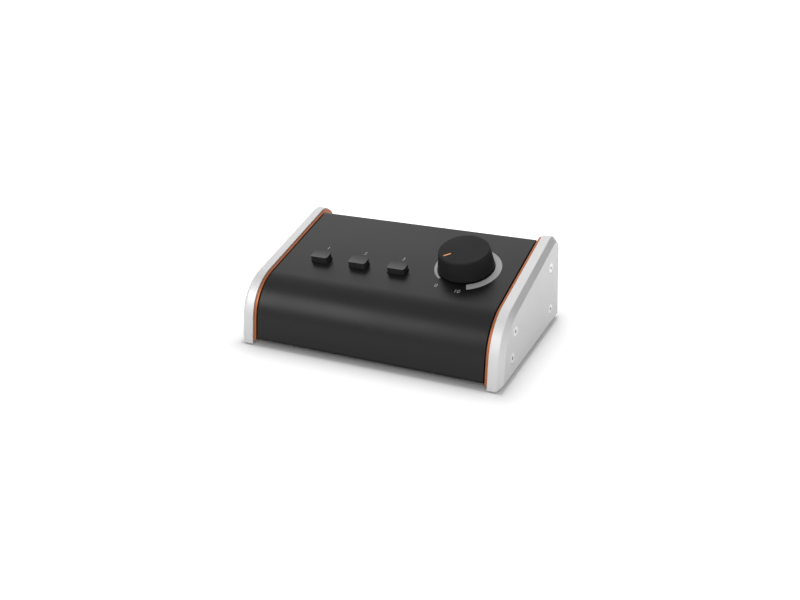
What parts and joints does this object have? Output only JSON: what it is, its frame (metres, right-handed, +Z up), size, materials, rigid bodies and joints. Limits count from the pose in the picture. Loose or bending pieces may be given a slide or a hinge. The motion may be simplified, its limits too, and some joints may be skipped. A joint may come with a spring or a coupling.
{
  "type": "studio monitor controller",
  "caption": "Desktop studio monitor controller: sloped sheet-metal cover between thick metal cheeks, large volume knob, push buttons, and plug sockets across the back.",
  "frame": {"origin": "centre of the footprint, at the level of the table under the feet", "axes": "+X to the right seen from the front, +Y from the front to the back, +Z up"},
  "size_m": [0.156, 0.0966, 0.0578],
  "materials": {
    "cover_paint": "fine satin powder coat",
    "tray_paint": "satin powder coat",
    "cheek_metal": "fine bead-blasted, clear anodised",
    "trim_orange": "satin orange anodised",
    "black_screw": "black oxide",
    "zinc_steel": "bright zinc plate",
    "knob_black": "fine matt texture",
    "pointer_orange": "smooth filled line",
    "shaft_steel": "turned",
    "pot_metal": "plated",
    "spacer_brass": "turned, nickel-free",
    "wafer_brown": "phenolic board",
    "button_black": "fine satin",
    "plunger_white": "moulded",
    "switch_black": "moulded",
    "board_green": "solder mask",
    "socket_black": "moulded, slightly glossy",
    "latch_black": "moulded",
    "contact_silver": "silver plated",
    "ribbon_grey": "ribbed flexible insulation",
    "header_black": "moulded",
    "foot_rubber": "soft black"
  },
  "bodies": {
    "chassis": {"top_cover": "cover_paint", "chassis_tray": "tray_paint", "left_cheek": "cheek_metal", "right_cheek": "cheek_metal", "left_trim_plate": "trim_orange", "right_trim_plate": "trim_orange", "cheek_screws": "zinc_steel", "cheek_nuts": "zinc_steel", "cover_screws": "black_screw", "cover_nuts": "zinc_steel", "pot_bush": "spacer_brass", "pot_case": "pot_metal", "pot_wafers": "wafer_brown", "pot_washer": "zinc_steel", "pot_nut": "zinc_steel", "switch_body_1": "switch_black", "switch_body_2": "switch_black", "switch_body_3": "switch_black", "panel_board": "board_green", "panel_spacers": "spacer_brass", "panel_board_screws": "zinc_steel", "main_board": "board_green", "main_spacers": "spacer_brass", "main_board_screws": "zinc_steel", "input_socket_left": "socket_black", "input_socket_right": "socket_black", "input_insert_left": "socket_black", "input_insert_right": "socket_black", "output_socket_left": "socket_black", "output_socket_right": "socket_black", "output_pins_left": "contact_silver", "output_pins_right": "contact_silver", "mini_socket": "socket_black", "mini_socket_nut": "zinc_steel", "socket_screws": "black_screw", "ribbon_cable": "ribbon_grey", "ribbon_plugs": "header_black", "ribbon_headers": "header_black", "foot_front_left": "foot_rubber", "foot_front_right": "foot_rubber", "foot_rear_left": "foot_rubber", "foot_rear_right": "foot_rubber"},
    "volume": {"volume_knob": "knob_black", "knob_pointer": "pointer_orange", "pot_shaft": "shaft_steel"},
    "button_1": {"button_cap_1": "button_black", "switch_plunger_1": "plunger_white"},
    "button_2": {"button_cap_2": "button_black", "switch_plunger_2": "plunger_white"},
    "button_3": {"button_cap_3": "button_black", "switch_plunger_3": "plunger_white"},
    "input_latch_left": {"input_latch_left": "latch_black"},
    "input_latch_right": {"input_latch_right": "latch_black"}
  },
  "joints": [
    {"name": "volume_turn", "type": "hinge", "parent": "chassis", "child": "volume", "pos_m": [0.039, 0.00323, 0.04313], "axis": [0, 0.23, -0.9732], "range_deg": [-7, 292]},
    {"name": "button_1_press", "type": "slide", "parent": "chassis", "child": "button_1", "axis": [0, -0.23, 0.9732], "range_m": [-0.0025, 0], "stiffness_N_per_m": 300, "springref_m": 0.0005},
    {"name": "button_2_press", "type": "slide", "parent": "chassis", "child": "button_2", "axis": [0, -0.23, 0.9732], "range_m": [-0.0025, 0], "stiffness_N_per_m": 300, "springref_m": 0.0005},
    {"name": "button_3_press", "type": "slide", "parent": "chassis", "child": "button_3", "axis": [0, -0.23, 0.9732], "range_m": [-0.0025, 0], "stiffness_N_per_m": 300, "springref_m": 0.0005},
    {"name": "latch_left_press", "type": "slide", "parent": "chassis", "child": "input_latch_left", "axis": [0, -1, 0], "range_m": [0, 0.0015], "stiffness_N_per_m": 400, "springref_m": -0.0004},
    {"name": "latch_right_press", "type": "slide", "parent": "chassis", "child": "input_latch_right", "axis": [0, -1, 0], "range_m": [0, 0.0015], "stiffness_N_per_m": 400, "springref_m": -0.0004}
  ]
}
